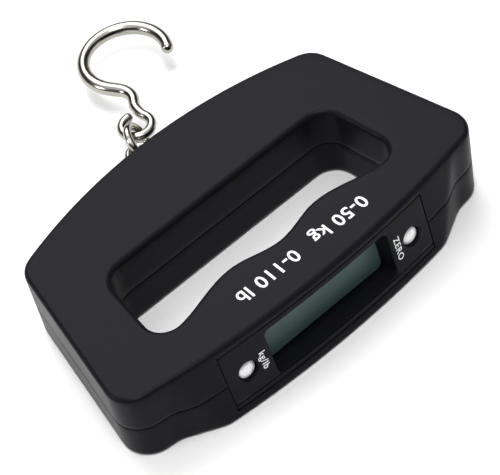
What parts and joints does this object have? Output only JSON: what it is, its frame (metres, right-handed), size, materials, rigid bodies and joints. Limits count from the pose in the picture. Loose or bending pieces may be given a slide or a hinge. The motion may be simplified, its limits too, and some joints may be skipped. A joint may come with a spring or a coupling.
{
  "type": "digital luggage scale",
  "caption": "Hand-held digital luggage scale: D-shaped grip with a finger slot, side display with push buttons, and a swivelling chromed wire hook.",
  "frame": {"origin": "middle of the hand slot on the back plane, the plane the scale lies on", "axes": "+X along the body from the unit button to the tare button, +Y from the display side to the hook side (the pull direction), +Z from the back to the front face"},
  "size_m": [0.1132, 0.12, 0.0225],
  "materials": {
    "front_shell": "satin charcoal-black moulded plastic",
    "rear_shell": "satin black moulded plastic",
    "bezel": "smooth black moulded plastic",
    "lcd": "grey-green liquid-crystal panel",
    "film": "satin reflector film",
    "contact_rubber": "matte layered rubber",
    "board": "green solder resist",
    "chip": "black sealed resin",
    "component": "matte component bodies",
    "fastener": "plated steel",
    "switch": "matte moulded plastic",
    "plunger": "ivory moulded plastic",
    "button": "bright plated dome",
    "beam": "milled aluminium",
    "gauge": "amber film gauge",
    "hook_chrome": "bright plated wire",
    "bush": "turned steel",
    "cell": "printed cell jacket",
    "contact": "plated spring strip",
    "red_wire": "red insulation",
    "white_wire": "white insulation"
  },
  "bodies": {
    "body": {"front_housing": "front_shell", "rear_housing": "rear_shell", "display_bezel": "bezel", "lcd_panel": "lcd", "lcd_rear_film": "film", "contact_strips": "contact_rubber", "circuit_board": "board", "controller_chip": "chip", "board_parts": "component", "board_screws": "fastener", "switch_bodies": "switch", "load_cell": "beam", "strain_gauges": "gauge", "load_cell_screws": "fastener", "exit_bush": "bush", "battery_left": "cell", "battery_right": "cell", "spring_contact": "contact", "plate_contact": "contact", "case_screws": "fastener", "power_wires": "red_wire", "signal_wires": "white_wire"},
    "tare": {"tare_button": "button", "tare_plunger": "plunger"},
    "unit": {"unit_button": "button", "unit_plunger": "plunger"},
    "swivel": {"swivel_eye": "hook_chrome", "swivel_washer": "fastener", "swivel_nut": "fastener"},
    "link": {"link_ring": "hook_chrome"},
    "hook": {"hook": "hook_chrome"},
    "door": {"battery_door": "rear_shell"}
  },
  "joints": [
    {"name": "tare_press", "type": "slide", "parent": "body", "child": "tare", "axis": [0, 0.9829, -0.1839], "range_m": [0, 0.0004], "stiffness_N_per_m": 400},
    {"name": "unit_press", "type": "slide", "parent": "body", "child": "unit", "axis": [0, 0.9829, -0.1839], "range_m": [0, 0.0004], "stiffness_N_per_m": 400},
    {"name": "swivel_turn", "type": "hinge", "parent": "body", "child": "swivel", "pos_m": [0, 0.0418, 0.011], "axis": [0, 1, 0], "continuous": true},
    {"name": "link_swing", "type": "hinge", "parent": "swivel", "child": "link", "pos_m": [0, 0.0418, 0.011], "axis": [0, 0, 1], "range_deg": [-25.5, 94.5]},
    {"name": "hook_pitch", "type": "hinge", "parent": "link", "child": "hook", "pos_m": [0.00275, 0.0458, 0.011], "axis": [0.7137, -0.4905, 0.5], "range_deg": [-60, 60]},
    {"name": "door_lift", "type": "slide", "parent": "body", "child": "door", "axis": [0, 0, -1], "range_m": [0, 0.02]}
  ]
}
